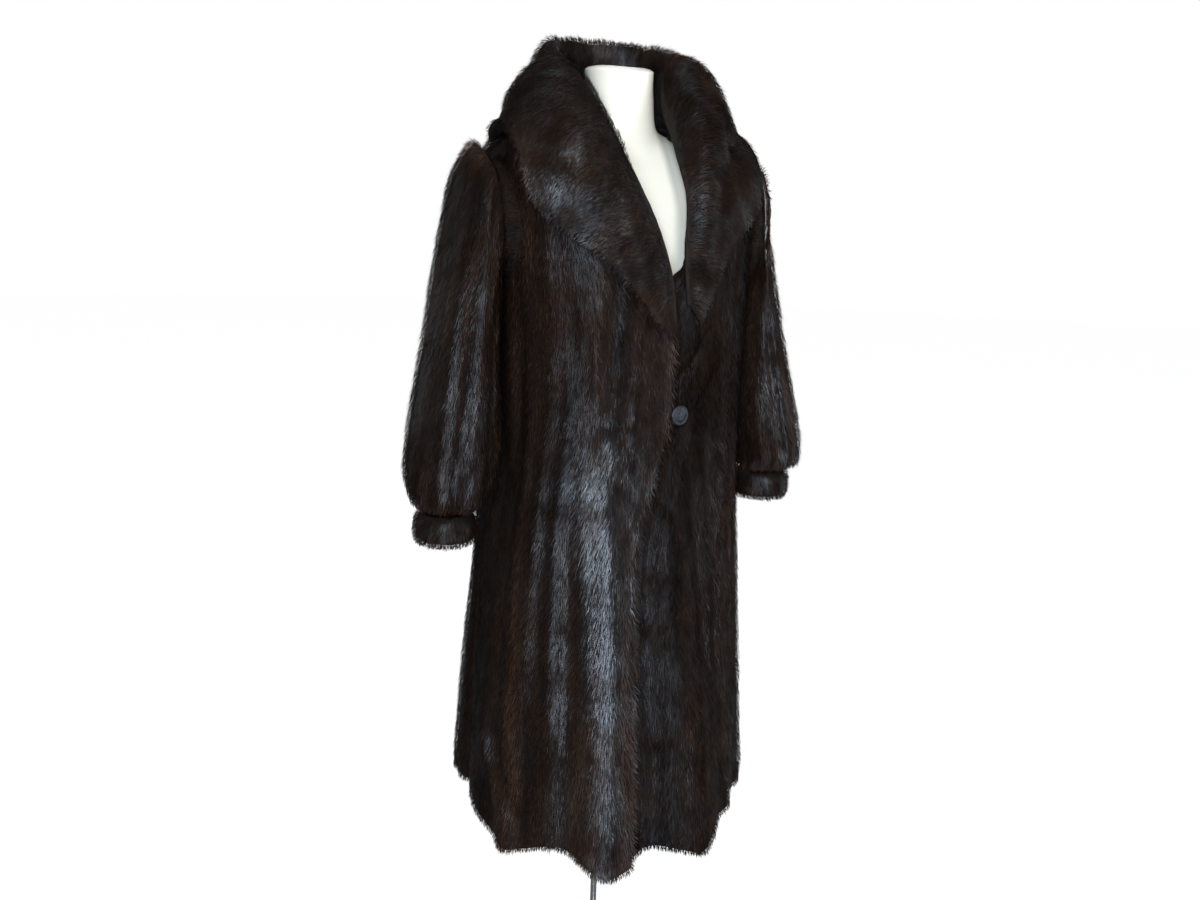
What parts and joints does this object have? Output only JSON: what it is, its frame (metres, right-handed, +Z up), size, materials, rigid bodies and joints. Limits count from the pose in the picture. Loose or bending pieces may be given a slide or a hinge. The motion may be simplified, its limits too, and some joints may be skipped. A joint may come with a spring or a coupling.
{
  "type": "fur coat on dress form",
  "caption": "Long dark fur coat with a wide shawl collar and bishop sleeves, closed by one button, on a limbless dress form with a slim stand.",
  "frame": {"origin": "on the floor, under the middle of the bounding box", "axes": "+Z up, the coat's front faces -Y, the wearer's left side is +X"},
  "size_m": [0.672, 0.5224, 1.5883],
  "materials": {
    "fur": "dark glossy fur",
    "collar_fur": "dark plush fur",
    "button": "glossy",
    "form_shell": "glossy",
    "steel": "satin"
  },
  "bodies": {
    "root": {"back": "fur", "right_front": "fur", "left_front": "fur", "collar": "collar_fur", "right_sleeve": "fur", "right_cuff": "collar_fur", "left_sleeve": "fur", "left_cuff": "collar_fur", "button": "button", "dress_form": "form_shell", "stand_rod": "steel", "stand_base": "steel"}
  },
  "joints": []
}
